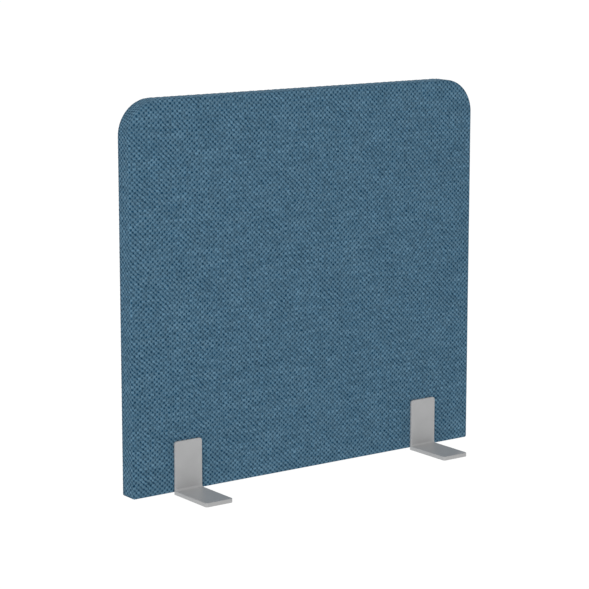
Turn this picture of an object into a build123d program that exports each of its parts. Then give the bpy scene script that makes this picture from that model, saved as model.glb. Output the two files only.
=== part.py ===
from build123d import *
import os

# A free-standing desk privacy panel: an upholstered board on two pairs of angle feet.
# X runs along the panel, -Y is its front, +Z is up, and the origin lies on the desk
# below the middle of the panel. Millimetres.

# Panel
panel_width = 600.0
panel_height = 550.0
panel_thickness = 30.0
corner_radius = 50.0
bottom_radius = 3.0
edge_radius = 2.5

# Layers, counted from each face inwards
cover_thickness = 1.0
foam_thickness = 3.0
board_thickness = 3.0
hem_width = 20.0
rear_cover_depth = 3.0

# Timber frame
rail_height = 40.0
stile_width = 40.0
bottom_rail_height = 80.0
corner_block_size = 60.0
dowel_diameter = 6.0
dowel_length = 30.0
dowel_end_margin = 12.0

# Staples that hold the hem
staple_crown = 10.0
staple_wire = 0.8
staple_leg = 6.0
staple_inset = 12.0
staple_spacing = 48.0

# Feet
foot_width = 45.0
foot_reach = 80.0
foot_height = 76.5
base_thickness = 6.0
upright_thickness = 3.0
foot_side_margin = 66.5
foot_corner_radius = 4.0
foot_bend_radius = 3.0
foot_edge_radius = 0.8
drop_below_panel = 3.5

# Grip pads below the feet
pad_thickness = 1.5
pad_margin = 5.0
pad_corner_radius = 6.0
pad_heel_margin = 12.0

# M6 fixings that clamp each pair of feet through the panel
stud_diameter = 6.0
stud_seat_depth = 2.0
stud_tip_past_washer = 8.0
stud_chamfer = 0.8
stud_lower_height = 28.0
stud_upper_height = 58.0
sleeve_outer_diameter = 10.0
sleeve_bore_diameter = 6.4
foot_hole_diameter = 6.6
washer_diameter = 12.0
washer_thickness = 1.6
nut_across_flats = 10.0
nut_hex_height = 5.5
nut_height = 12.0
nut_dome_radius = 4.75
nut_thread_depth = 9.0
nut_hex_chamfer = 0.6

# Derived places
half_width = panel_width / 2
half_thickness = panel_thickness / 2
panel_bottom = pad_thickness + drop_below_panel
panel_top = panel_bottom + panel_height
panel_middle = panel_bottom + panel_height / 2
foam_front_y = -half_thickness + cover_thickness
board_front_y = foam_front_y + foam_thickness
frame_front_y = board_front_y + board_thickness
frame_depth = -2 * frame_front_y
frame_rear_y = frame_front_y + frame_depth
board_rear_y = frame_rear_y + board_thickness
seam_y = half_thickness - rear_cover_depth
foam_rear_y = half_thickness - cover_thickness
inner_half_width = half_width - cover_thickness
inner_bottom = panel_bottom + cover_thickness
inner_top = panel_top - cover_thickness
stile_inner_x = inner_half_width - stile_width
block_inner_x = inner_half_width - corner_block_size
block_bottom = inner_top - corner_block_size
bottom_rail_top = inner_bottom + bottom_rail_height
top_rail_bottom = inner_top - rail_height
foot_x = half_width - foot_side_margin - foot_width / 2
base_top = pad_thickness + base_thickness
foot_top = pad_thickness + foot_height
pad_length = foot_reach - pad_heel_margin - pad_margin
pad_y = half_thickness + pad_heel_margin + pad_length / 2
rear_upright_y = half_thickness + upright_thickness
stud_start_y = -half_thickness - stud_seat_depth
washer_rear_y = rear_upright_y + washer_thickness
stud_end_y = washer_rear_y + stud_tip_past_washer
sides = (("left", -1), ("right", 1))
stud_heights = (pad_thickness + stud_lower_height, pad_thickness + stud_upper_height)
stud_points = [(sign * foot_x, height) for _, sign in sides for height in stud_heights]

os.makedirs("parts", exist_ok=True)


def xz_plane(y):
    # an upright plane at this depth; extruding from it with a plus sign runs to the front
    return Plane.XZ.offset(-y)


def draw_outline(sketch, inset):
    # the panel's face, drawn in by an inset on all its sides
    with Locations((0, panel_middle)):
        Rectangle(panel_width - 2 * inset, panel_height - 2 * inset)
    fillet(sketch.vertices().group_by(Axis.Y)[-1], corner_radius - inset)
    fillet(sketch.vertices().group_by(Axis.Y)[0], max(bottom_radius - inset, cover_thickness))


def draw_box(low, high):
    # a rectangle between two opposite corners
    with Locations(((low[0] + high[0]) / 2, (low[1] + high[1]) / 2)):
        Rectangle(abs(high[0] - low[0]), abs(high[1] - low[1]))


def cut_sleeve_bores(y_rear, depth):
    # the four bores that the spacer sleeves pass through
    with Locations(xz_plane(y_rear)):
        with Locations(*stud_points):
            Cylinder(
                sleeve_outer_diameter / 2,
                depth,
                align=(Align.CENTER, Align.CENTER, Align.MIN),
                mode=Mode.SUBTRACT,
            )


def save(piece, name):
    piece.part.label = name
    export_step(piece.part, f"parts/{name}.step")


# Staples: U-shaped wire, crown on the hem and legs driven into the frame
def spread(half_run):
    # evenly spaced places along a run that is centred on zero
    count = int(2 * half_run / staple_spacing) + 1
    pitch = 2 * half_run / (count - 1)
    return [index * pitch - half_run for index in range(count)]


top_staples = [(x, panel_top - staple_inset) for x in spread(half_width - corner_radius - staple_inset)]
bottom_staples = [(x, panel_bottom + staple_inset) for x in spread(half_width - 2 * staple_inset)]
side_run = (block_bottom - inner_bottom) / 2 - 2 * staple_inset
side_middle = (block_bottom + inner_bottom) / 2
side_staples = [
    (sign * (half_width - staple_inset), side_middle + z) for _, sign in sides for z in spread(side_run)
]
leg_offset = (staple_crown - staple_wire) / 2

with BuildPart() as cover_staples:
    for points, turn in ((top_staples + bottom_staples, 0), (side_staples, 90)):
        with Locations(xz_plane(seam_y)):
            with Locations(*points):
                with Locations(Location((0, 0, 0), (0, 0, turn))):
                    Box(
                        staple_crown,
                        staple_wire,
                        staple_wire,
                        align=(Align.CENTER, Align.CENTER, Align.MAX),
                    )
                    with Locations((-leg_offset, 0), (leg_offset, 0)):
                        Box(
                            staple_wire,
                            staple_wire,
                            staple_leg,
                            align=(Align.CENTER, Align.CENTER, Align.MIN),
                        )
save(cover_staples, "cover_staples")


# Front cover: one cloth over the front and all four edges, its hem turned in at the back
with BuildPart() as front_cover:
    with BuildSketch(xz_plane(seam_y)) as cover_face:
        draw_outline(cover_face, 0)
    extrude(amount=seam_y + half_thickness)
    fillet(front_cover.faces().sort_by(Axis.Y)[0].edges(), edge_radius)
    offset(amount=-cover_thickness, openings=front_cover.faces().sort_by(Axis.Y)[-1])
    with BuildSketch(xz_plane(seam_y)) as hem_outside:
        draw_outline(hem_outside, cover_thickness / 2)
    extrude(amount=cover_thickness)
    with BuildSketch(xz_plane(seam_y)) as hem_inside:
        draw_outline(hem_inside, hem_width)
    extrude(amount=cover_thickness, mode=Mode.SUBTRACT)
    cut_sleeve_bores(half_thickness, panel_thickness)
    add(cover_staples.part, mode=Mode.SUBTRACT)
save(front_cover, "front_cover")


# Rear cover: a shallow cloth cap that closes the back, seamed to the front cover
with BuildPart() as rear_cover:
    with BuildSketch(xz_plane(half_thickness)) as rear_cover_face:
        draw_outline(rear_cover_face, 0)
    extrude(amount=rear_cover_depth)
    fillet(rear_cover.faces().sort_by(Axis.Y)[-1].edges(), edge_radius)
    offset(amount=-cover_thickness, openings=rear_cover.faces().sort_by(Axis.Y)[0])
    cut_sleeve_bores(half_thickness, panel_thickness)
save(rear_cover, "rear_cover")


# Front foam: thin padding between the cloth and the front board
with BuildPart() as front_foam:
    with BuildSketch(xz_plane(board_front_y)) as front_foam_face:
        draw_outline(front_foam_face, cover_thickness)
    extrude(amount=foam_thickness)
    fillet(front_foam.faces().sort_by(Axis.Y)[0].edges(), edge_radius - cover_thickness)
    cut_sleeve_bores(board_front_y, foam_thickness)
save(front_foam, "front_foam")


# Rear foam: laid over the stapled hem, with its middle filling the step inside the hem
with BuildPart() as rear_foam:
    with BuildSketch(xz_plane(foam_rear_y)) as rear_foam_face:
        draw_outline(rear_foam_face, cover_thickness)
    extrude(amount=foam_rear_y - seam_y)
    fillet(rear_foam.faces().sort_by(Axis.Y)[-1].edges(), edge_radius - cover_thickness)
    with BuildSketch(xz_plane(seam_y)) as rear_foam_step:
        draw_outline(rear_foam_step, hem_width)
    extrude(amount=seam_y - board_rear_y)
    cut_sleeve_bores(foam_rear_y, foam_thickness)
    add(cover_staples.part, mode=Mode.SUBTRACT)
save(rear_foam, "rear_foam")


# Front board: thin hardboard skin of the panel's core
with BuildPart() as front_board:
    with BuildSketch(xz_plane(frame_front_y)) as front_board_face:
        draw_outline(front_board_face, cover_thickness)
    extrude(amount=board_thickness)
    cut_sleeve_bores(frame_front_y, board_thickness)
save(front_board, "front_board")


# Rear board: the same skin at the back, which the hem is stapled to
with BuildPart() as rear_board:
    with BuildSketch(xz_plane(board_rear_y)) as rear_board_face:
        draw_outline(rear_board_face, cover_thickness)
    extrude(amount=board_thickness)
    cut_sleeve_bores(board_rear_y, board_thickness)
    add(cover_staples.part, mode=Mode.SUBTRACT)
save(rear_board, "rear_board")


# Dowels that join the frame: rails to stiles and corner blocks, and blocks to stiles
dowel_heights = (
    inner_bottom + dowel_end_margin,
    bottom_rail_top - dowel_end_margin,
    top_rail_bottom + dowel_end_margin,
    inner_top - dowel_end_margin,
)
low_dowels = [(sign * stile_inner_x, 0, z) for _, sign in sides for z in dowel_heights[:2]]
high_dowels = [(sign * block_inner_x, 0, z) for _, sign in sides for z in dowel_heights[2:]]
upright_dowels = [
    (sign * (inner_half_width - margin), 0, block_bottom)
    for _, sign in sides
    for margin in (dowel_end_margin, stile_width - dowel_end_margin)
]

with BuildPart() as frame_dowels:
    with Locations(*low_dowels, *high_dowels):
        Cylinder(dowel_diameter / 2, dowel_length, rotation=(0, 90, 0))
    with Locations(*upright_dowels):
        Cylinder(dowel_diameter / 2, dowel_length)
save(frame_dowels, "frame_dowels")


# Bottom rail: deep enough to take the sleeves of both pairs of feet
with BuildPart() as bottom_rail:
    with BuildSketch(xz_plane(frame_rear_y)):
        draw_box((-stile_inner_x, inner_bottom), (stile_inner_x, bottom_rail_top))
    extrude(amount=frame_depth)
    cut_sleeve_bores(frame_rear_y, frame_depth)
    add(frame_dowels.part, mode=Mode.SUBTRACT)
    add(cover_staples.part, mode=Mode.SUBTRACT)
save(bottom_rail, "bottom_rail")


# Top rail
with BuildPart() as top_rail:
    with BuildSketch(xz_plane(frame_rear_y)):
        draw_box((-block_inner_x, top_rail_bottom), (block_inner_x, inner_top))
    extrude(amount=frame_depth)
    add(frame_dowels.part, mode=Mode.SUBTRACT)
    add(cover_staples.part, mode=Mode.SUBTRACT)
save(top_rail, "top_rail")


# Stiles and the rounded blocks above them, one of each per side
for side, sign in sides:
    with BuildPart() as stile:
        with BuildSketch(xz_plane(frame_rear_y)) as stile_face:
            draw_box((sign * stile_inner_x, inner_bottom), (sign * inner_half_width, block_bottom))
            outer_corners = stile_face.vertices().sort_by(Axis.X)[::sign][-2:]
            fillet(outer_corners.sort_by(Axis.Y)[0], bottom_radius - cover_thickness)
        extrude(amount=frame_depth)
        add(frame_dowels.part, mode=Mode.SUBTRACT)
        add(cover_staples.part, mode=Mode.SUBTRACT)
    save(stile, f"{side}_stile")

    with BuildPart() as corner_block:
        with BuildSketch(xz_plane(frame_rear_y)) as block_face:
            draw_box((sign * block_inner_x, block_bottom), (sign * inner_half_width, inner_top))
            outer_corners = block_face.vertices().sort_by(Axis.X)[::sign][-2:]
            fillet(outer_corners.sort_by(Axis.Y)[-1], corner_radius - cover_thickness)
        extrude(amount=frame_depth)
        add(frame_dowels.part, mode=Mode.SUBTRACT)
        add(cover_staples.part, mode=Mode.SUBTRACT)
    save(corner_block, f"{side}_corner_block")


# Acoustic infill: a slab of wool that fills the frame, notched for the corner blocks
with BuildPart() as acoustic_infill:
    with BuildSketch(xz_plane(frame_rear_y)):
        draw_box((-stile_inner_x, bottom_rail_top), (stile_inner_x, block_bottom))
        draw_box((-block_inner_x, block_bottom), (block_inner_x, top_rail_bottom))
    extrude(amount=frame_depth)
save(acoustic_infill, "acoustic_infill")


# Feet: angles with a thick base and a thin upright, two in front and two behind
def foot_profile(facing):
    # the angle's corners in (Y, Z), from the heel round to the top; facing is -1 in front, 1 behind
    heel = facing * half_thickness
    face = facing * rear_upright_y
    tip = facing * (half_thickness + foot_reach)
    return [
        (heel, pad_thickness),
        (tip, pad_thickness),
        (tip, base_top),
        (face, base_top),
        (face, foot_top),
        (heel, foot_top),
    ]


for side, sign in sides:
    for place, facing in (("front", -1), ("rear", 1)):
        with BuildPart() as foot:
            with BuildSketch(Plane.YZ.offset(sign * foot_x)) as foot_side:
                with BuildLine():
                    Polyline(*foot_profile(facing), close=True)
                make_face()
                bend = Vector(facing * rear_upright_y, base_top)
                fillet(foot_side.vertices().sort_by_distance(bend)[0], foot_bend_radius)
            extrude(amount=foot_width / 2, both=True)
            tip_face = foot.faces().sort_by(Axis.Y)[::facing][-1]
            fillet(tip_face.edges().filter_by(Axis.Z), foot_corner_radius)
            top_face = foot.faces().sort_by(Axis.Z)[-1]
            fillet(top_face.edges().filter_by(Axis.Y), foot_corner_radius)
            rim_edges = foot.faces().filter_by(Axis.X).edges()
            heel_edges = rim_edges.group_by(Axis.Y)[::facing][0]
            fillet(rim_edges - heel_edges, foot_edge_radius)
            if place == "front":
                with Locations(xz_plane(-half_thickness)):
                    with Locations(*stud_points):
                        Cylinder(
                            stud_diameter / 2,
                            stud_seat_depth,
                            align=(Align.CENTER, Align.CENTER, Align.MIN),
                            mode=Mode.SUBTRACT,
                        )
            else:
                with Locations(xz_plane(rear_upright_y)):
                    with Locations(*stud_points):
                        Hole(foot_hole_diameter / 2)
        save(foot, f"{side}_{place}_foot")


# Grip pads: rubber strips below the four bases, set in from their edges
with BuildPart() as grip_pads:
    with BuildSketch() as pad_plan:
        with Locations(*[(sign * foot_x, facing * pad_y) for _, sign in sides for facing in (-1, 1)]):
            RectangleRounded(foot_width - 2 * pad_margin, pad_length, pad_corner_radius)
    extrude(amount=pad_thickness)
save(grip_pads, "grip_pads")


# Studs: pressed blind into the front uprights, so that the front shows no fixing
with BuildPart() as foot_studs:
    with BuildSketch(xz_plane(stud_end_y)):
        with Locations(*stud_points):
            Circle(stud_diameter / 2)
    extrude(amount=stud_end_y - stud_start_y)
    chamfer(foot_studs.faces().group_by(Axis.Y)[-1].edges(), stud_chamfer)
save(foot_studs, "foot_studs")


# Spacer sleeves: they carry the clamp load, so that the foam and the wool aren't crushed
with BuildPart() as spacer_sleeves:
    with BuildSketch(xz_plane(half_thickness)):
        with Locations(*stud_points):
            Circle(sleeve_outer_diameter / 2)
            Circle(sleeve_bore_diameter / 2, mode=Mode.SUBTRACT)
    extrude(amount=panel_thickness)
save(spacer_sleeves, "spacer_sleeves")


# Washers behind the rear uprights
with BuildPart() as washers:
    with BuildSketch(xz_plane(washer_rear_y)):
        with Locations(*stud_points):
            Circle(washer_diameter / 2)
            Circle(sleeve_bore_diameter / 2, mode=Mode.SUBTRACT)
    extrude(amount=washer_thickness)
save(washers, "washers")


# Cap nuts: a hexagon with a domed cap and a blind thread, on each stud's end
with BuildPart(mode=Mode.PRIVATE) as cap_nut:
    with BuildSketch():
        RegularPolygon(nut_across_flats / 2, 6, major_radius=False)
    extrude(amount=nut_hex_height)
    chamfer(cap_nut.faces().sort_by(Axis.Z)[-1].edges(), nut_hex_chamfer)
    Cylinder(
        nut_dome_radius,
        nut_height - nut_dome_radius,
        align=(Align.CENTER, Align.CENTER, Align.MIN),
    )
    with Locations((0, 0, nut_height - nut_dome_radius)):
        Sphere(nut_dome_radius)
    Cylinder(
        stud_diameter / 2,
        nut_thread_depth,
        align=(Align.CENTER, Align.CENTER, Align.MIN),
        mode=Mode.SUBTRACT,
    )

with BuildPart() as cap_nuts:
    with Locations(Plane(origin=(0, washer_rear_y, 0), x_dir=(-1, 0, 0), z_dir=(0, 1, 0))):
        with Locations(*stud_points):
            add(cap_nut.part)
save(cap_nuts, "cap_nuts")
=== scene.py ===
import math

import bpy
import numpy as np
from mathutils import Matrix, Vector


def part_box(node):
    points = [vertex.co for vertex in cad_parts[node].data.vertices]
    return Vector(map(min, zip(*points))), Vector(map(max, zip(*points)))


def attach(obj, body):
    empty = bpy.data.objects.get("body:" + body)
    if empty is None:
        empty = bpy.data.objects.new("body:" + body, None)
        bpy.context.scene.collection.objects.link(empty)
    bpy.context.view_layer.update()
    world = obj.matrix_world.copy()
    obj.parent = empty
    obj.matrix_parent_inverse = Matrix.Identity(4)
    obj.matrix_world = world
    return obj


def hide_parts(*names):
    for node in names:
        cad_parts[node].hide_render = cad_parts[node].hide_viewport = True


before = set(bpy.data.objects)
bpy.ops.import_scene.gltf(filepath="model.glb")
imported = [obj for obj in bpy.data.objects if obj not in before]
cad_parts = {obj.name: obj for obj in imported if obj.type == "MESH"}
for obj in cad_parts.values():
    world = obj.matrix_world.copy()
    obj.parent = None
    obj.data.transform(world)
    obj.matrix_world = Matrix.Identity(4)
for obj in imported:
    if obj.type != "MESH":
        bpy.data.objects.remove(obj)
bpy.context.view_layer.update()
scene = bpy.context.scene
mm = 0.001
print("frame loaded:", len(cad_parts), "CAD nodes")


# shader helpers
def newMaterial(name):
    material = bpy.data.materials.new(name)
    material.use_nodes = True
    shader = material.node_tree.nodes["Principled BSDF"]
    return material, shader


def addNode(tree, kind, **settings):
    node = tree.nodes.new(kind)
    for key, value in settings.items():
        setattr(node, key, value)
    return node


def feed(tree, value, socket):
    if isinstance(value, bpy.types.NodeSocket):
        tree.links.new(value, socket)
    else:
        socket.default_value = value


def calc(tree, operation, first, second=0.0, third=0.0):
    node = addNode(tree, "ShaderNodeMath", operation=operation)
    for value, socket in zip((first, second, third), node.inputs):
        feed(tree, value, socket)
    return node.outputs[0]


def times(tree, first, second):
    return calc(tree, "MULTIPLY", first, second)


def smoothStep(tree, value, low, high, toLow=0.0, toHigh=1.0):
    node = addNode(tree, "ShaderNodeMapRange", interpolation_type="SMOOTHSTEP")
    for item, socket in zip((value, low, high, toLow, toHigh), node.inputs):
        feed(tree, item, socket)
    return node.outputs[0]


noiseSpan = (0.3, 0.7)  # noise seldom leaves it
wideSpan = (0.25, 0.75)  # for noise that changes a finish more gently


def vary(tree, value, amount, span=noiseSpan):
    # a shade from 1 - amount to 1 + amount, as the value goes through the span
    return smoothStep(tree, value, *span, 1 - amount, 1 + amount)


def blend(tree, first, second, share):
    node = addNode(tree, "ShaderNodeMix", data_type="FLOAT")
    for value, socket in zip((share, first, second), (node.inputs[0], node.inputs[2], node.inputs[3])):
        feed(tree, value, socket)
    return node.outputs[0]


def mixColour(tree, factor, first, second, mode="MIX"):
    node = addNode(tree, "ShaderNodeMix", data_type="RGBA", blend_type=mode)
    feed(tree, factor, node.inputs[0])
    feed(tree, first, node.inputs[6])
    feed(tree, second, node.inputs[7])
    return node.outputs[2]


def joinXyz(tree, x, y, z=0.0):
    node = addNode(tree, "ShaderNodeCombineXYZ")
    for value, socket in zip((x, y, z), node.inputs):
        feed(tree, value, socket)
    return node.outputs[0]


def shaded(tree, colour, tone):
    return mixColour(tree, 1.0, colour, joinXyz(tree, tone, tone, tone), "MULTIPLY")


def noiseNode(tree, vector, scale, detail=2.0, roughness=0.5):
    node = addNode(tree, "ShaderNodeTexNoise")
    feed(tree, vector, node.inputs["Vector"])
    node.inputs["Scale"].default_value = scale
    node.inputs["Detail"].default_value = detail
    node.inputs["Roughness"].default_value = roughness
    return node


def noiseAt(tree, vector, scale, detail=2.0, roughness=0.5):
    return noiseNode(tree, vector, scale, detail, roughness).outputs[0]


def addBump(tree, shader, height, distance):
    node = addNode(tree, "ShaderNodeBump")
    feed(tree, height, node.inputs["Height"])
    node.inputs["Distance"].default_value = distance
    node.inputs["Strength"].default_value = 1.0
    tree.links.new(node.outputs[0], shader.inputs["Normal"])


# camera, floor and light
cameraView = {
    "lens": 134.5,
    "sensorWidth": 36.0,
    "azimuth": -36.0,
    "elevation": 10.6,
    "distance": 3.161,
    "aim": (-0.0155, 0.0, 0.2598),
}


def makeCamera(view):
    data = bpy.data.cameras.new("panelCamera")
    data.lens = view["lens"]
    data.sensor_width = view["sensorWidth"]
    camera = bpy.data.objects.new("panelCamera", data)
    scene.collection.objects.link(camera)
    turn = math.radians(view["azimuth"])
    lift = math.radians(view["elevation"])
    back = Vector((math.sin(turn) * math.cos(lift), -math.cos(turn) * math.cos(lift), math.sin(lift)))
    camera.location = Vector(view["aim"]) + back * view["distance"]
    camera.rotation_mode = "QUATERNION"
    camera.rotation_quaternion = (-back).to_track_quat("-Z", "Y")
    scene.camera = camera
    print("camera placed", view["distance"], "m away")


studio = {
    "worldStrength": 0.52,
    "floorRadius": 40.0,
    "floorSides": 96,
    "floorLevel": -0.2 * mm,
    "floorColour": (0.03, 0.03, 0.03, 1),
    "floorRoughness": 0.9,
    "floorSpecular": 0.1,
    "floorGlow": 1.0,
    "aim": (0.0, 0.0, 0.3),
    "lightSize": 2.0,
    # name: (place, watts)
    "lights": {
        "keyLight": ((-2.55, -1.78, 2.6), 60.0),
        "fillLight": ((1.4, -3.2, 1.6), 8.0),
        "backLight": ((1.75, 2.4, 2.8), 40.0),
    },
}


def makeSky(look):
    # the sky lights softly, and is as white as the floor where it is seen
    world = bpy.data.worlds.new("studioWorld")
    world.use_nodes = True
    tree = world.node_tree
    background = tree.nodes["Background"]
    background.inputs["Color"].default_value = (1, 1, 1, 1)
    seen = addNode(tree, "ShaderNodeLightPath").outputs["Is Camera Ray"]
    strength = blend(tree, look["worldStrength"], look["floorGlow"], seen)
    tree.links.new(strength, background.inputs["Strength"])
    scene.world = world


def floorMaterial(look):
    material, shader = newMaterial("paleFloor")
    shader.inputs["Base Color"].default_value = look["floorColour"]
    shader.inputs["Roughness"].default_value = look["floorRoughness"]
    shader.inputs["Specular IOR Level"].default_value = look["floorSpecular"]
    shader.inputs["Emission Color"].default_value = (1, 1, 1, 1)
    shader.inputs["Emission Strength"].default_value = look["floorGlow"]
    # seen from below, the floor is clear
    tree = material.node_tree
    clear = addNode(tree, "ShaderNodeBsdfTransparent")
    choose = addNode(tree, "ShaderNodeMixShader")
    tree.links.new(addNode(tree, "ShaderNodeNewGeometry").outputs["Backfacing"], choose.inputs[0])
    tree.links.new(shader.outputs[0], choose.inputs[1])
    tree.links.new(clear.outputs[0], choose.inputs[2])
    tree.links.new(choose.outputs[0], tree.nodes["Material Output"].inputs["Surface"])
    return material


def makeStudio(look):
    scene.view_settings.view_transform = "Standard"
    makeSky(look)
    sides = look["floorSides"]
    ring = [2 * math.pi * k / sides for k in range(sides)]
    radius = look["floorRadius"]
    points = [(radius * math.cos(t), radius * math.sin(t), look["floorLevel"]) for t in ring]
    mesh = bpy.data.meshes.new("studioFloor")
    mesh.from_pydata(points, [], [list(range(sides))])
    mesh.materials.append(floorMaterial(look))
    floor = bpy.data.objects.new("studioFloor", mesh)
    scene.collection.objects.link(floor)
    for name, (place, watts) in look["lights"].items():
        data = bpy.data.lights.new(name, "AREA")
        data.shape = "RECTANGLE"
        data.size = look["lightSize"]
        data.size_y = look["lightSize"]
        data.energy = watts
        light = bpy.data.objects.new(name, data)
        light.location = place
        light.rotation_euler = (Vector(look["aim"]) - Vector(place)).to_track_quat("-Z", "Y").to_euler()
        scene.collection.objects.link(light)
    print("studio lit by", len(look["lights"]), "lights")


# cloth
clothLook = {
    "lightThread": (0.089, 0.188, 0.275, 1),
    "paleThread": (0.112, 0.217, 0.305, 1),
    "darkThread": (0.002, 0.038, 0.084, 1),
    "paleSpan": (0.35, 0.70),  # the part of its tone's range in which a weft thread turns pale
    "sunkAt": -0.86,  # how sunk a crossing is where it is darkest, from -1 to 1
    "proudAt": -0.04,  # and where it is lightest
    "floatSunk": -0.30,  # the same two for the crisper edge of a warp float
    "floatProud": -0.08,
    "floatEdge": 0.42,  # how crisp that edge is
    "sunkLeast": 0.76,  # the palest of the dark crossings
    "turnOver": 0.15,  # how gently one thread gives way to the other
    "waver": 0.70,  # how far threads wander, in pitches
    "waverScale": 14.0,
    "jitter": 1.30,  # and how far single crossings do
    "jitterCells": 0.5,  # noise cells to a pitch
    "upShare": 0.6,  # how much less they wander up and down
    "biasScale": 22.0,
    "bias": 0.12,
    "lean": 0.04,  # how much one diagonal outweighs the other all over
    "slubLength": 20.0,  # slubs per metre along a weft thread
    "slub": 0.05,  # how much a thread's tone changes along it
    "warpSlub": 0.05,
    "weftStep": 0.73,  # how unlike neighbouring threads are
    "warpStep": 0.81,
    "cloud": 0.025,  # and the whole cloth's, over a few centimetres
    "cloudScale": 26.0,
    "fleck": 0.13,  # how much the crossings differ
    "plies": 19.0,
    "twist": 7.0,
    # painted highlight on the ply ridges and painted shade in the grooves between them
    "plyPaintedShade": 0.16,
    "plyHeight": 0.05,
    "fibres": 17.0,
    "fibreRun": 1.6,  # how much coarser the fibres are along the yarn
    "fibreShade": 0.30,
    "fibreHeight": 0.14,
    # painted shade in the hollows between neighbouring weft threads and warp threads, and how wide it
    # reaches
    "weftGapPaintedShade": 0.34,
    "warpGapPaintedShade": 0.10,
    "gapWidth": 0.5,
    "roundness": 0.6,
    "bow": 0.4,  # how far a yarn rises over the one below it
    "weftLevel": 0.6,
    "warpLevel": 0.4,
    "reliefDepth": 0.9 * mm,
    "sheen": 0.02,
    "sheenRoughness": 0.5,
    "roughness": 0.95,
    "specular": 0.05,
}


def threadWave(tree, phase):
    # +1 and -1 by turns, one thread apart
    return calc(tree, "COSINE", times(tree, phase, math.pi))


def wander(tree, place, across, up, scale, amount, upShare):
    drift = noiseNode(tree, place, scale, 3.0)
    split = addNode(tree, "ShaderNodeSeparateColor")
    tree.links.new(drift.outputs["Color"], split.inputs[0])
    driftAcross = calc(tree, "SUBTRACT", split.outputs[0], 0.5)
    driftUp = calc(tree, "SUBTRACT", split.outputs[1], 0.5)
    across = calc(tree, "MULTIPLY_ADD", driftAcross, amount, across)
    up = calc(tree, "MULTIPLY_ADD", driftUp, amount * upShare, up)
    return across, up


def threadTones(tree, look, place, warpIndex, weftIndex):
    # each thread has its own tone, which changes in slubs along it
    split = addNode(tree, "ShaderNodeSeparateXYZ")
    tree.links.new(place, split.inputs[0])
    weftRun = times(tree, split.outputs[0], look["slubLength"])
    warpRun = times(tree, split.outputs[1], look["slubLength"])
    # the third number keeps the warp's noise apart from the weft's
    weftPlace = joinXyz(tree, weftRun, times(tree, weftIndex, look["weftStep"]))
    warpPlace = joinXyz(tree, times(tree, warpIndex, look["warpStep"]), warpRun, 7.0)
    return noiseAt(tree, weftPlace, 1.0, 3.0, 0.6), noiseAt(tree, warpPlace, 1.0, 3.0, 0.6)


def yarnDetail(tree, look, across, up, onTop):
    # the plies wind round each yarn, and the fibres run along it
    weftTurn = calc(tree, "MULTIPLY_ADD", across, look["plies"], times(tree, up, look["twist"]))
    warpTurn = calc(tree, "MULTIPLY_ADD", up, look["plies"], times(tree, across, -look["twist"]))
    ply = blend(tree, calc(tree, "SINE", warpTurn), calc(tree, "SINE", weftTurn), onTop)
    alongWeft = joinXyz(tree, times(tree, across, look["fibreRun"]), times(tree, up, look["fibres"]))
    alongWarp = joinXyz(tree, times(tree, across, look["fibres"]), times(tree, up, look["fibreRun"]), 5.0)
    weftFibre = noiseAt(tree, alongWeft, 1.0, 3.0, 0.65)
    warpFibre = noiseAt(tree, alongWarp, 1.0, 3.0, 0.65)
    return ply, blend(tree, warpFibre, weftFibre, onTop)


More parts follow.
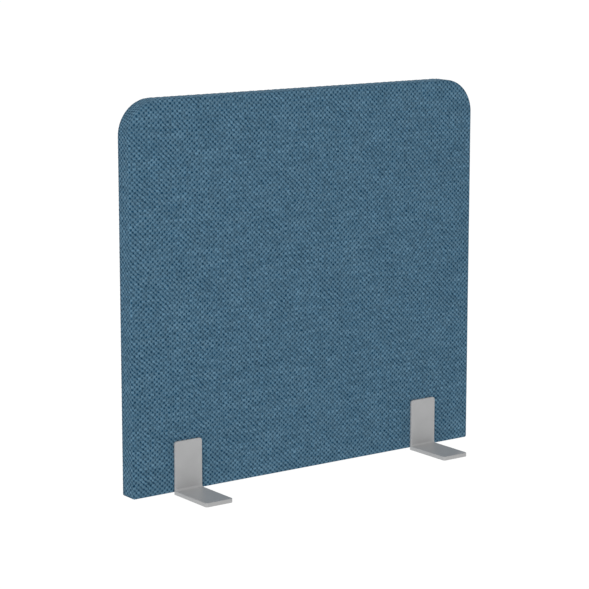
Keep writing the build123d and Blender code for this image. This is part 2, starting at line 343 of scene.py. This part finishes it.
def clothMaterial(look, pitchAcross, pitchUp):
    material, shader = newMaterial("blueWeave")
    tree = material.node_tree
    place = addNode(tree, "ShaderNodeUVMap", uv_map="weave").outputs[0]
    split = addNode(tree, "ShaderNodeSeparateXYZ")
    tree.links.new(place, split.inputs[0])
    across = calc(tree, "DIVIDE", split.outputs[0], pitchAcross)
    up = calc(tree, "DIVIDE", split.outputs[1], pitchUp)
    # threads wander a little from their places, and so do single crossings
    jitterScale = look["jitterCells"] / pitchUp
    for scale, amount in ((look["waverScale"], look["waver"]), (jitterScale, look["jitter"])):
        across, up = wander(tree, place, across, up, scale, amount, look["upShare"])
    warpRidge = calc(tree, "ABSOLUTE", threadWave(tree, across))
    weftRidge = calc(tree, "ABSOLUTE", threadWave(tree, up))
    # +1 where the weft lies on top; in patches the yarn's twist makes one diagonal the stronger
    rising = threadWave(tree, calc(tree, "ADD", across, up))
    falling = threadWave(tree, calc(tree, "SUBTRACT", across, up))
    even = 0.5 + look["lean"]
    patches = noiseAt(tree, place, look["biasScale"])
    bias = smoothStep(tree, patches, *wideSpan, even - look["bias"], even + look["bias"])
    over = blend(tree, falling, rising, bias)
    onTop = smoothStep(tree, over, -look["turnOver"], look["turnOver"])
    warpIndex = calc(tree, "ROUND", across)
    weftIndex = calc(tree, "ROUND", up)
    weftTone, warpTone = threadTones(tree, look, place, warpIndex, weftIndex)
    crossing = addNode(tree, "ShaderNodeTexWhiteNoise", noise_dimensions="2D")
    tree.links.new(joinXyz(tree, warpIndex, weftIndex), crossing.inputs["Vector"])
    ply, fibre = yarnDetail(tree, look, across, up, onTop)
    # colour: pale floats, and dark crossings between them
    pale = smoothStep(tree, weftTone, *look["paleSpan"])
    colour = mixColour(tree, pale, look["lightThread"], look["paleThread"])
    sunk = smoothStep(tree, over, look["proudAt"], look["sunkAt"])
    warpFloat = smoothStep(tree, over, look["floatProud"], look["floatSunk"])
    sunk = blend(tree, sunk, warpFloat, look["floatEdge"])
    spread = smoothStep(tree, crossing.outputs["Value"], 0.0, 1.0, look["sunkLeast"], 1.0)
    colour = mixColour(tree, times(tree, sunk, spread), colour, look["darkThread"])
    # the threads' own tones, together with painted shade along the plies and in the gaps between threads
    tonesAndPaintedShade = (
        vary(tree, weftTone, look["slub"], wideSpan),
        vary(tree, warpTone, look["warpSlub"], wideSpan),
        vary(tree, noiseAt(tree, place, look["cloudScale"]), look["cloud"]),
        vary(tree, crossing.outputs["Color"], look["fleck"], (0.0, 1.0)),
        # painted highlight and shade along the twist of the plies
        calc(tree, "MULTIPLY_ADD", ply, look["plyPaintedShade"], 1.0),
        vary(tree, fibre, look["fibreShade"]),
        # painted shade: darker towards the gaps between weft threads and between warp threads
        smoothStep(tree, weftRidge, 0.0, look["gapWidth"], 1 - look["weftGapPaintedShade"], 1.0),
        smoothStep(tree, warpRidge, 0.0, look["gapWidth"], 1 - look["warpGapPaintedShade"], 1.0),
    )
    tone = tonesAndPaintedShade[0]
    for shade in tonesAndPaintedShade[1:]:
        tone = times(tree, tone, shade)
    tree.links.new(shaded(tree, colour, tone), shader.inputs["Base Color"])
    # relief: each yarn is round and bows over the one that it crosses
    weftBow = calc(tree, "MULTIPLY_ADD", warpRidge, look["bow"], look["weftLevel"])
    warpBow = calc(tree, "MULTIPLY_ADD", weftRidge, look["bow"], look["warpLevel"])
    weftTop = times(tree, calc(tree, "POWER", weftRidge, look["roundness"]), weftBow)
    warpTop = times(tree, calc(tree, "POWER", warpRidge, look["roundness"]), warpBow)
    height = blend(tree, warpTop, weftTop, onTop)
    height = calc(tree, "MULTIPLY_ADD", ply, look["plyHeight"], height)
    height = calc(tree, "MULTIPLY_ADD", fibre, look["fibreHeight"], height)
    addBump(tree, shader, height, look["reliefDepth"])
    shader.inputs["Roughness"].default_value = look["roughness"]
    shader.inputs["Specular IOR Level"].default_value = look["specular"]
    shader.inputs["Sheen Weight"].default_value = look["sheen"]
    shader.inputs["Sheen Roughness"].default_value = look["sheenRoughness"]
    return material


clothShape = {
    "topRadius": 50.0 * mm,
    "bottomRadius": 3.0 * mm,
    "edgeRadius": 2.5 * mm,
    "edgeSteps": 4,
    "threadsAcross": 155,
    "threadsUp": 153,
    "snap": 0.4,  # in pitches: crossings this near a rounded corner are drawn to it
    "bandPitch": 3.6 * mm,  # between the crossings on the panel's edges
    "bandRelief": 0.4,  # how much of the relief they keep
    "crown": 0.7 * mm,  # how far the padding stands proud in the middle of a face
    "crownRun": 30.0 * mm,
    "pressed": 0.3 * mm,  # how deep the cloth is pulled in at its edges and round a foot
    "pressedRun": 9.0 * mm,
    "relief": 0.2 * mm,
    "unevenness": 0.35 * mm,
    "swellScale": 7.0,
    "thickness": 0.6 * mm,
    "seamGap": 0.6 * mm,
    "seamDepth": 1.6 * mm,
    "foldShare": 0.35,  # how deep the cloth is where it rounds the fold, as a share of seamDepth
    "foldGap": 0.35 * mm,
    "foldRun": 0.5 * mm,
    "foldEnd": 0.1 * mm,
    "turnIn": 2.0 * mm,  # the rear cover's edge, folded into the seam
    "hemWidth": 20.0 * mm,
    "hemRows": (0.2, 0.6, 1.0),
    "pucker": 0.35 * mm,
    "puckerLength": 13.0 * mm,
    "puckerRun": 9.0 * mm,
    "puckerDrift": 1.3,  # the puckers don't keep an even distance
    "puckerDriftPace": 61.0,
}
tiny = 1e-6  # metres; less than this counts as none


def smooth(value):
    value = np.clip(value, 0.0, 1.0)
    return value * value * (3 - 2 * value)


def faceGrid(shape, low, high):
    # the flat of one face as a grid with a point at each crossing, trimmed to the rounded corners
    inset = shape["edgeRadius"]
    xs = np.linspace(low.x + inset, high.x - inset, shape["threadsAcross"] + 1)
    zs = np.linspace(low.z + inset, high.z - inset, shape["threadsUp"] + 1)
    radius = shape["topRadius"] - inset
    pitch = xs[1] - xs[0]
    points, inside, parity = {}, {}, {}
    for i, x in enumerate(xs):
        for j, z in enumerate(zs):
            centre = Vector((math.copysign(high.x - shape["topRadius"], x), high.z - shape["topRadius"]))
            place = Vector((x, z))
            inside[i, j] = True
            if abs(x) > abs(centre.x) and z > centre.y:
                away = place - centre
                if away.length > radius - shape["snap"] * pitch:
                    place = centre + away.normalized() * radius
                    inside[i, j] = False
            points[i, j] = place
            parity[i, j] = (-1) ** (i + j) if inside[i, j] else 0
    cells = []
    for i in range(len(xs) - 1):
        for j in range(len(zs) - 1):
            corners = [(i, j), (i + 1, j), (i + 1, j + 1), (i, j + 1)]
            if any(inside[c] for c in corners):
                cells.append(corners)
    return points, parity, cells


def rimOf(cells):
    # the trimmed grid's outer corners in order, anticlockwise in (X, Z)
    # an edge between two cells is met once each way, and drops out
    following = {}
    for corners in cells:
        for a, b in zip(corners, corners[1:] + corners[:1]):
            if (b, a) in following:
                del following[b, a]
            else:
                following[a, b] = True
    ahead = dict(following.keys())
    start = next(iter(ahead))
    loop = [start]
    while ahead[loop[-1]] != start:
        loop.append(ahead[loop[-1]])
    return loop


def edgeColumns(shape, rim, points, low, high):
    # the columns that run over the edge: a rim corner and its outward direction in (X, Z)
    inset = shape["edgeRadius"]
    arcX = high.x - shape["topRadius"]
    arcZ = high.z - shape["topRadius"]
    fanTurns = [math.radians(degrees) for degrees in range(15, 90, 15)]
    fan = [Vector((math.sin(t), -math.cos(t))) for t in fanTurns]
    rightFan = [Vector((0, -1))] + fan + [Vector((1, 0))]
    leftFan = [Vector((-d.x, d.y)) for d in rightFan[::-1]]
    columns = []
    for key in rim:
        place = points[key]
        atSide = abs(abs(place.x) - (high.x - inset)) < tiny
        atFoot = abs(place.y - (low.z + inset)) < tiny
        if abs(place.x) > arcX - tiny and place.y > arcZ - tiny:
            centre = Vector((math.copysign(arcX, place.x), arcZ))
            columns.append((key, (place - centre).normalized()))
        elif atSide and atFoot:
            columns += [(key, d) for d in (rightFan if place.x > 0 else leftFan)]
        elif atSide:
            columns.append((key, Vector((math.copysign(1, place.x), 0))))
        elif atFoot:
            columns.append((key, Vector((0, -1))))
        else:
            columns.append((key, Vector((0, 1))))
    return columns


def edgePath(shape, facing, faceY, seamY, hemY):
    # one column's way over the edge: how far out, Y, how far along the cloth, share of the relief
    inset = shape["edgeRadius"]
    back = -facing
    path = []
    for step in range(1, shape["edgeSteps"] + 1):
        turn = math.pi / 2 * step / shape["edgeSteps"]
        path.append((inset * math.sin(turn), faceY + back * inset * (1 - math.cos(turn)), inset * turn, 0))
    travelled = inset * math.pi / 2
    bandStart = faceY + back * inset
    bandWidth = abs(seamY - bandStart)
    rows = max(1, round(bandWidth / shape["bandPitch"]))
    for row in range(1, rows + 1):
        share = row / rows
        relief = shape["bandRelief"] if row < rows else 0
        path.append((inset, bandStart + (seamY - bandStart) * share, travelled + bandWidth * share, relief))
    travelled += bandWidth
    # the fold into the seam, and the hem behind it
    depth = shape["seamDepth"]
    fold = inset - shape["foldShare"] * depth
    path.append((fold, seamY + back * shape["foldGap"], travelled + shape["foldRun"], 0))
    path.append((inset - depth, seamY + back * shape["foldEnd"], travelled + depth, 0))
    if hemY is not None:
        for share in shape["hemRows"]:
            out = inset - depth - (shape["hemWidth"] - depth) * share
            path.append((out, hemY, travelled + shape["hemWidth"] * share + depth, 0))
    return path


def crownFace(shape, coordinates, facing, faceY, low, high, feet):
    # the padding's soft crown, pulled in at the edges and round the feet
    onFace = np.abs(coordinates[:, 1] - faceY) < tiny
    x = coordinates[:, 0]
    z = coordinates[:, 2]
    edge = np.minimum(high.x - np.abs(x), np.minimum(high.z - z, z - low.z))
    crown = smooth(edge / shape["crownRun"])
    for footLow, footHigh in feet:
        gapX = np.maximum(footLow.x - x, x - footHigh.x)
        gapZ = np.maximum(z - footHigh.z, footLow.z - z)
        gap = np.hypot(np.maximum(gapX, 0), np.maximum(gapZ, 0))
        crown = crown * smooth(gap / shape["pressedRun"])
    proud = crown * shape["crown"] - shape["pressed"] * (1 - crown)
    coordinates[:, 1] += np.where(onFace, facing * proud, 0.0)


def clothPanel(name, shape, facing, low, high, faceY, seamY, hemY, feet):
    points, parity, cells = faceGrid(shape, low, high)
    index, places, threads, flats = {}, [], [], []
    for key in sorted({c for corners in cells for c in corners}):
        index[key] = len(places)
        x, z = points[key]
        places.append((x, faceY, z))
        threads.append(parity[key])
        flats.append((x, z))
    faces = [[index[c] for c in corners] for corners in cells]
    if facing > 0:
        faces = [face[::-1] for face in faces]
    columns = edgeColumns(shape, rimOf(cells), points, low, high)
    lengths = [0.0]
    for (before, _), (after, _) in zip(columns, columns[1:]):
        lengths.append(lengths[-1] + (points[after] - points[before]).length)
    inset = shape["edgeRadius"]
    previous = [index[key] for key, _ in columns]
    for out, y, along, relief in edgePath(shape, facing, faceY, seamY, hemY):
        near = max(0.0, 1 - abs(y - seamY) / shape["puckerRun"]) if abs(out - inset) < tiny else 0.0
        current = []
        for c, (key, direction) in enumerate(columns):
            place = points[key]
            drift = shape["puckerDrift"] * math.sin(lengths[c] * shape["puckerDriftPace"])
            wave = math.sin(2 * math.pi * lengths[c] / shape["puckerLength"] + drift)
            reach = out + shape["pucker"] * wave * near * near
            current.append(len(places))
            places.append((place.x + direction.x * reach, y, place.y + direction.y * reach))
            threads.append(relief * (-1) ** (c + round(along / shape["bandPitch"])))
            flats.append((place.x + direction.x * along, place.y + direction.y * along))
        for c in range(len(columns)):
            d = (c + 1) % len(columns)
            quad = [previous[c], current[c], current[d], previous[d]]
            if quad[0] == quad[3]:
                quad = quad[:3]
            faces.append(quad if facing < 0 else quad[::-1])
        previous = current
    coordinates = np.array(places)
    crownFace(shape, coordinates, facing, faceY, low, high, feet)
    mesh = bpy.data.meshes.new(name)
    mesh.from_pydata(coordinates.tolist(), [], faces)
    attribute = mesh.attributes.new("thread", "FLOAT", "POINT")
    attribute.data.foreach_set("value", np.array(threads, np.float32))
    layer = mesh.uv_layers.new(name="weave")
    corners = np.zeros(len(mesh.loops), np.int32)
    mesh.loops.foreach_get("vertex_index", corners)
    layer.data.foreach_set("uv", np.array(flats, np.float32)[corners].ravel())
    mesh.polygons.foreach_set("use_smooth", [True] * len(mesh.polygons))
    mesh.validate()
    return mesh


# geometry trees
def newTree(name, **inputs):
    group = bpy.data.node_groups.new(name, "GeometryNodeTree")
    group.interface.new_socket(name="Geometry", in_out="INPUT", socket_type="NodeSocketGeometry")
    for key, value in inputs.items():
        kind = "Material" if value is None else "Float"
        group.interface.new_socket(name=key, in_out="INPUT", socket_type=f"NodeSocket{kind}")
    group.interface.new_socket(name="Geometry", in_out="OUTPUT", socket_type="NodeSocketGeometry")
    start = group.nodes.new("NodeGroupInput")
    end = group.nodes.new("NodeGroupOutput")
    return group, start, end


def chain(group, source, node, into="Geometry"):
    group.links.new(source, node.inputs[into])
    return node.outputs[0]


def runTree(group, mesh, name, **inputs):
    # evaluates the tree on a mesh and returns the result as a plain object
    carrier = bpy.data.objects.new("treeCarrier", mesh)
    scene.collection.objects.link(carrier)
    modifier = carrier.modifiers.new("tree", "NODES")
    modifier.node_group = group
    for item in group.interface.items_tree:
        if item.in_out == "INPUT" and item.name in inputs:
            modifier[item.identifier] = inputs[item.name]
    graph = bpy.context.evaluated_depsgraph_get()
    result = bpy.data.meshes.new_from_object(carrier.evaluated_get(graph))
    carrier.modifiers.remove(modifier)
    bpy.data.objects.remove(carrier)
    result.name = name
    piece = bpy.data.objects.new(name, result)
    scene.collection.objects.link(piece)
    return piece


def reliefTree(shape):
    group, start, end = newTree("weaveRelief", Height=0.0, Unevenness=0.0, Finish=None)
    thread = group.nodes.new("GeometryNodeInputNamedAttribute")
    thread.inputs["Name"].default_value = "thread"
    normal = group.nodes.new("GeometryNodeInputNormal")
    noise = group.nodes.new("ShaderNodeTexNoise")
    noise.inputs["Scale"].default_value = shape["swellScale"]
    noise.inputs["Detail"].default_value = 1.0
    lift = addNode(group, "ShaderNodeMath", operation="MULTIPLY")
    group.links.new(thread.outputs["Attribute"], lift.inputs[0])
    group.links.new(start.outputs["Height"], lift.inputs[1])
    centred = addNode(group, "ShaderNodeMath", operation="SUBTRACT")
    group.links.new(noise.outputs[0], centred.inputs[0])
    centred.inputs[1].default_value = 0.5
    swell = addNode(group, "ShaderNodeMath", operation="MULTIPLY_ADD")
    group.links.new(centred.outputs[0], swell.inputs[0])
    group.links.new(start.outputs["Unevenness"], swell.inputs[1])
    group.links.new(lift.outputs[0], swell.inputs[2])
    offset = addNode(group, "ShaderNodeVectorMath", operation="SCALE")
    group.links.new(normal.outputs[0], offset.inputs[0])
    group.links.new(swell.outputs[0], offset.inputs["Scale"])
    move = group.nodes.new("GeometryNodeSetPosition")
    group.links.new(offset.outputs[0], move.inputs["Offset"])
    realize = group.nodes.new("GeometryNodeRealizeInstances")
    finish = group.nodes.new("GeometryNodeSetMaterial")
    group.links.new(start.outputs["Finish"], finish.inputs["Material"])
    result = chain(group, start.outputs["Geometry"], move)
    result = chain(group, result, realize)
    result = chain(group, result, finish)
    group.links.new(result, end.inputs[0])
    return group


def makeCloth(look, shape):
    panelLow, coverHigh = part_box("front_cover")
    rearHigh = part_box("rear_cover")[1]
    panelHigh = Vector((coverHigh.x, rearHigh.y, coverHigh.z))
    inset = shape["edgeRadius"]
    pitchAcross = (panelHigh.x - panelLow.x - 2 * inset) / shape["threadsAcross"]
    pitchUp = (panelHigh.z - panelLow.z - 2 * inset) / shape["threadsUp"]
    finish = clothMaterial(look, pitchAcross, pitchUp)
    tree = reliefTree(shape)
    seamY = coverHigh.y
    gap = shape["seamGap"]
    # place: facing, Y of the face, of the edge at the seam and of the hem, width turned in
    plans = {
        "front": (-1, panelLow.y, seamY - gap / 2, seamY - gap, shape["hemWidth"]),
        "rear": (1, panelHigh.y, seamY + gap / 2, None, shape["turnIn"]),
    }
    for place, (facing, faceY, edgeY, hemY, turnedIn) in plans.items():
        name = f"{place}_cloth"
        feet = [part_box(f"{side}_{place}_foot") for side in ("left", "right")]
        mesh = clothPanel(name, shape, facing, panelLow, panelHigh, faceY, edgeY, hemY, feet)
        mesh.materials.append(finish)
        piece = runTree(tree, mesh, name, Height=shape["relief"], Unevenness=shape["unevenness"],
                        Finish=finish)
        bpy.data.meshes.remove(mesh)
        shell = piece.modifiers.new("thickness", "SOLIDIFY")
        shell.thickness = shape["thickness"]
        shell.offset = -1
        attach(piece, "root")
        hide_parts(f"{place}_cover")


# the hand-sewn seam that joins the two covers
stitchLook = {
    "spacing": 6.5 * mm,
    "reach": 1.5 * mm,  # how far a stitch goes to each side of the seam
    "slant": 0.6 * mm,
    "sunk": 0.1 * mm,
    "proud": 0.35 * mm,
    "threadRadius": 0.25 * mm,
    "threadSides": 6,
    "bowSteps": 5,
    "colour": (0.030, 0.075, 0.118, 1),
    "shade": 0.3,
    "shadeScale": 900.0,
    "grainScale": 3000.0,
    "grainDepth": 0.05 * mm,
    "roughness": 0.8,
    "specular": 0.2,
}


def seamPath(shape, low, high, seamY, inward):
    # a closed loop round the panel's edge, clockwise as seen from the front
    top = shape["topRadius"]
    foot = shape["bottomRadius"]
    # centre in (X, Z), radius, steps, and the direction in degrees in which the corner starts
    corners = (
        (high.x - foot, low.z + foot, foot, 4, 0),
        (foot - high.x, low.z + foot, foot, 4, 270),
        (top - high.x, high.z - top, top, 24, 180),
        (high.x - top, high.z - top, top, 24, 90),
    )
    points = []
    for x, z, radius, steps, degrees in corners:
        for k in range(steps + 1):
            turn = math.radians(degrees - 90 * k / steps)
            reach = radius - inward
            points.append((x + reach * math.cos(turn), seamY, z + reach * math.sin(turn)))
    mesh = bpy.data.meshes.new("seamPath")
    count = len(points)
    mesh.from_pydata(points, [(k, (k + 1) % count) for k in range(count)], [])
    return mesh


def stitchTree(look):
    group, start, end = newTree("ladderStitch", Spacing=0.0, Reach=0.0, Slant=0.0, Proud=0.0,
                                Radius=0.0, Finish=None)
    line = group.nodes.new("GeometryNodeMeshToCurve")
    places = addNode(group, "GeometryNodeCurveToPoints", mode="LENGTH")
    group.links.new(start.outputs["Spacing"], places.inputs["Length"])
    alongSeam = addNode(group, "FunctionNodeAlignRotationToVector", axis="X")
    group.links.new(places.outputs["Tangent"], alongSeam.inputs["Vector"])
    acrossSeam = addNode(group, "FunctionNodeAlignRotationToVector", axis="Y", pivot_axis="X")
    group.links.new(alongSeam.outputs[0], acrossSeam.inputs["Rotation"])
    acrossSeam.inputs["Vector"].default_value = (0, 1, 0)
    # one stitch, bowed outwards from the seam
    back = addNode(group, "ShaderNodeMath", operation="MULTIPLY")
    group.links.new(start.outputs["Reach"], back.inputs[0])
    back.inputs[1].default_value = -1.0
    lean = addNode(group, "ShaderNodeMath", operation="MULTIPLY")
    group.links.new(start.outputs["Slant"], lean.inputs[0])
    lean.inputs[1].default_value = -1.0
    ends = []
    for x, y, z in ((lean.outputs[0], back.outputs[0], None), (None, None, start.outputs["Proud"]),
                    (start.outputs["Slant"], start.outputs["Reach"], None)):
        join = group.nodes.new("ShaderNodeCombineXYZ")
        for value, socket in zip((x, y, z), join.inputs):
            if value is not None:
                group.links.new(value, socket)
        ends.append(join.outputs[0])
    bow = group.nodes.new("GeometryNodeCurveQuadraticBezier")
    bow.inputs["Resolution"].default_value = look["bowSteps"]
    for value, socket in zip(ends, ("Start", "Middle", "End")):
        group.links.new(value, bow.inputs[socket])
    ring = group.nodes.new("GeometryNodeCurvePrimitiveCircle")
    ring.inputs["Resolution"].default_value = look["threadSides"]
    group.links.new(start.outputs["Radius"], ring.inputs["Radius"])
    thread = group.nodes.new("GeometryNodeCurveToMesh")
    group.links.new(bow.outputs[0], thread.inputs["Curve"])
    group.links.new(ring.outputs[0], thread.inputs["Profile Curve"])
    thread.inputs["Fill Caps"].default_value = True
    copies = group.nodes.new("GeometryNodeInstanceOnPoints")
    group.links.new(places.outputs["Points"], copies.inputs["Points"])
    group.links.new(thread.outputs[0], copies.inputs["Instance"])
    group.links.new(acrossSeam.outputs[0], copies.inputs["Rotation"])
    realize = group.nodes.new("GeometryNodeRealizeInstances")
    finish = group.nodes.new("GeometryNodeSetMaterial")
    group.links.new(start.outputs["Finish"], finish.inputs["Material"])
    curve = chain(group, start.outputs["Geometry"], line, "Mesh")
    chain(group, curve, places, "Curve")
    result = chain(group, copies.outputs[0], realize)
    result = chain(group, result, finish)
    group.links.new(result, end.inputs[0])
    return group


def threadMaterial(look):
    material, shader = newMaterial("seamThread")
    tree = material.node_tree
    place = addNode(tree, "ShaderNodeTexCoord").outputs["Object"]
    tone = vary(tree, noiseAt(tree, place, look["shadeScale"]), look["shade"])
    tree.links.new(shaded(tree, look["colour"], tone), shader.inputs["Base Color"])
    addBump(tree, shader, noiseAt(tree, place, look["grainScale"], 1.0), look["grainDepth"])
    shader.inputs["Roughness"].default_value = look["roughness"]
    shader.inputs["Specular IOR Level"].default_value = look["specular"]
    return material


def makeSeam(look, shape):
    low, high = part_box("front_cover")
    path = seamPath(shape, low, high, high.y, look["sunk"])
    finish = threadMaterial(look)
    piece = runTree(stitchTree(look), path, "seam_stitches", Spacing=look["spacing"], Reach=look["reach"],
                    Slant=look["slant"], Proud=look["proud"], Radius=look["threadRadius"], Finish=finish)
    bpy.data.meshes.remove(path)
    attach(piece, "root")
    print("seam stitched:", len(piece.data.polygons), "faces")


# finishes of the CAD nodes
def dress(material, *names):
    # a node's object carries its CAD name
    for name in names:
        for slot in bpy.data.objects[name].material_slots:
            slot.material = material


def finishStart(name):
    material, shader = newMaterial(name)
    tree = material.node_tree
    place = addNode(tree, "ShaderNodeTexCoord").outputs["Object"]
    return material, shader, tree, place


coatLook = {
    "colour": (0.395, 0.397, 0.400, 1),
    "mottle": 0.03,
    "mottleScale": 45.0,
    "speckColour": (0.62, 0.62, 0.62, 1),
    "speckRange": (0.62, 0.72),
    "speck": 0.10,
    "roughness": (0.33, 0.40),  # lowest, highest
    "peelScale": 1400.0,
    "peelDepth": 0.012 * mm,
}


def coatMaterial(look):
    material, shader, tree, place = finishStart("greyPowderCoat")
    cloud = noiseAt(tree, place, look["mottleScale"], 3.0)
    grain = noiseAt(tree, place, look["peelScale"], 2.0, 0.6)
    colour = shaded(tree, look["colour"], vary(tree, cloud, look["mottle"]))
    speck = smoothStep(tree, grain, *look["speckRange"], 0.0, look["speck"])
    colour = mixColour(tree, speck, colour, look["speckColour"])
    tree.links.new(colour, shader.inputs["Base Color"])
    tree.links.new(smoothStep(tree, cloud, *noiseSpan, *look["roughness"]), shader.inputs["Roughness"])
    addBump(tree, shader, grain, look["peelDepth"])
    return material


metalLook = {
    "zinc": {"colour": (0.60, 0.59, 0.56, 1), "roughness": 0.34, "cloud": 260.0, "depth": 0.02 * mm},
    "chrome": {"colour": (0.78, 0.78, 0.80, 1), "roughness": 0.12, "cloud": 120.0, "depth": 0.004 * mm},
    "wire": {"colour": (0.66, 0.64, 0.58, 1), "roughness": 0.30, "cloud": 500.0, "depth": 0.01 * mm},
    "grainScale": 1800.0,
    "shade": (0.88, 1.08),
    "roughnessRange": (0.8, 1.25),
}


def metalMaterial(name, look, shared):
    material, shader, tree, place = finishStart(name)
    cloud = noiseAt(tree, place, look["cloud"], 4.0, 0.65)
    tone = smoothStep(tree, cloud, *noiseSpan, *shared["shade"])
    tree.links.new(shaded(tree, look["colour"], tone), shader.inputs["Base Color"])
    smoothest, roughest = [look["roughness"] * share for share in shared["roughnessRange"]]
    tree.links.new(smoothStep(tree, cloud, *noiseSpan, smoothest, roughest), shader.inputs["Roughness"])
    addBump(tree, shader, noiseAt(tree, place, shared["grainScale"]), look["depth"])
    shader.inputs["Metallic"].default_value = 1.0
    return material


woodLook = {
    "pale": (0.62, 0.45, 0.27, 1),
    "ring": (0.42, 0.25, 0.12, 1),
    "ringScale": 42.0,
    "ringWobble": 5.0,
    "fibreScale": 900.0,
    "alongGrain": 0.08,  # how much the grain is stretched along the piece
    "shade": (0.82, 1.12),
    "roughness": (0.55, 0.80),
    "depth": 0.12 * mm,
}


def woodMaterial(name, look, along):
    # the grain runs along one axis of the piece
    material, shader, tree, place = finishStart(name)
    stretch = [1.0, 1.0, 1.0]
    stretch["xyz".index(along)] = look["alongGrain"]
    mapping = addNode(tree, "ShaderNodeMapping")
    tree.links.new(place, mapping.inputs["Vector"])
    mapping.inputs["Scale"].default_value = stretch
    grain = mapping.outputs[0]
    rings = addNode(tree, "ShaderNodeTexWave", wave_type="RINGS", rings_direction=along.upper())
    tree.links.new(grain, rings.inputs["Vector"])
    rings.inputs["Scale"].default_value = look["ringScale"]
    rings.inputs["Distortion"].default_value = look["ringWobble"]
    rings.inputs["Detail"].default_value = 3.0
    fibre = noiseAt(tree, grain, look["fibreScale"], 3.0, 0.6)
    colour = mixColour(tree, rings.outputs["Fac"], look["pale"], look["ring"])
    colour = shaded(tree, colour, smoothStep(tree, fibre, *noiseSpan, *look["shade"]))
    tree.links.new(colour, shader.inputs["Base Color"])
    tree.links.new(smoothStep(tree, fibre, *noiseSpan, *look["roughness"]), shader.inputs["Roughness"])
    addBump(tree, shader, fibre, look["depth"])
    return material


# name: colour, second colour, coarse scale, fine scale, bump depth, roughness
softFinishes = {
    "brownHardboard": ((0.27, 0.15, 0.075, 1), (0.17, 0.09, 0.045, 1), 240.0, 1700.0, 0.06 * mm, 0.62),
    "creamFoam": ((0.78, 0.70, 0.50, 1), (0.62, 0.53, 0.36, 1), 500.0, 2200.0, 0.30 * mm, 0.95),
    "greyWool": ((0.40, 0.40, 0.38, 1), (0.19, 0.20, 0.21, 1), 160.0, 1500.0, 0.50 * mm, 1.0),
    "blackRubber": ((0.022, 0.022, 0.024, 1), (0.045, 0.045, 0.046, 1), 300.0, 2600.0, 0.05 * mm, 0.72),
}


grainLook = {
    "mixSpan": (0.38, 0.62),  # where the first colour gives way to the second
    "smoother": 0.06,  # how much less rough the hollows of the grain are
}


def grainMaterial(name, first, second, coarse, fine, depth, roughness):
    material, shader, tree, place = finishStart(name)
    cloud = noiseAt(tree, place, coarse, 4.0, 0.6)
    grain = noiseAt(tree, place, fine, 3.0, 0.65)
    mix = calc(tree, "MULTIPLY_ADD", grain, 0.5, times(tree, cloud, 0.5))
    colour = mixColour(tree, smoothStep(tree, mix, *grainLook["mixSpan"]), first, second)
    tree.links.new(colour, shader.inputs["Base Color"])
    rough = smoothStep(tree, grain, *noiseSpan, roughness - grainLook["smoother"], roughness)
    tree.links.new(rough, shader.inputs["Roughness"])
    addBump(tree, shader, mix, depth)
    return material


def dressNodes():
    coat = coatMaterial(coatLook)
    dress(coat, *[f"{side}_{place}_foot" for side in ("left", "right") for place in ("front", "rear")])
    zinc = metalMaterial("zincPlate", metalLook["zinc"], metalLook)
    chrome = metalMaterial("brightChrome", metalLook["chrome"], metalLook)
    wire = metalMaterial("stapleWire", metalLook["wire"], metalLook)
    dress(zinc, "foot_studs", "spacer_sleeves", "washers")
    dress(chrome, "cap_nuts")
    dress(wire, "cover_staples")
    dress(woodMaterial("pineAcross", woodLook, "x"), "top_rail", "bottom_rail", "frame_dowels")
    uprightPine = woodMaterial("pineUpright", woodLook, "z")
    dress(uprightPine, "left_stile", "right_stile", "left_corner_block", "right_corner_block")
    soft = {name: grainMaterial(name, *values) for name, values in softFinishes.items()}
    dress(soft["brownHardboard"], "front_board", "rear_board")
    dress(soft["creamFoam"], "front_foam", "rear_foam")
    dress(soft["greyWool"], "acoustic_infill")
    dress(soft["blackRubber"], "grip_pads")
    print("CAD nodes dressed")


makeCamera(cameraView)
makeStudio(studio)
makeCloth(clothLook, clothShape)
makeSeam(stitchLook, clothShape)
dressNodes()
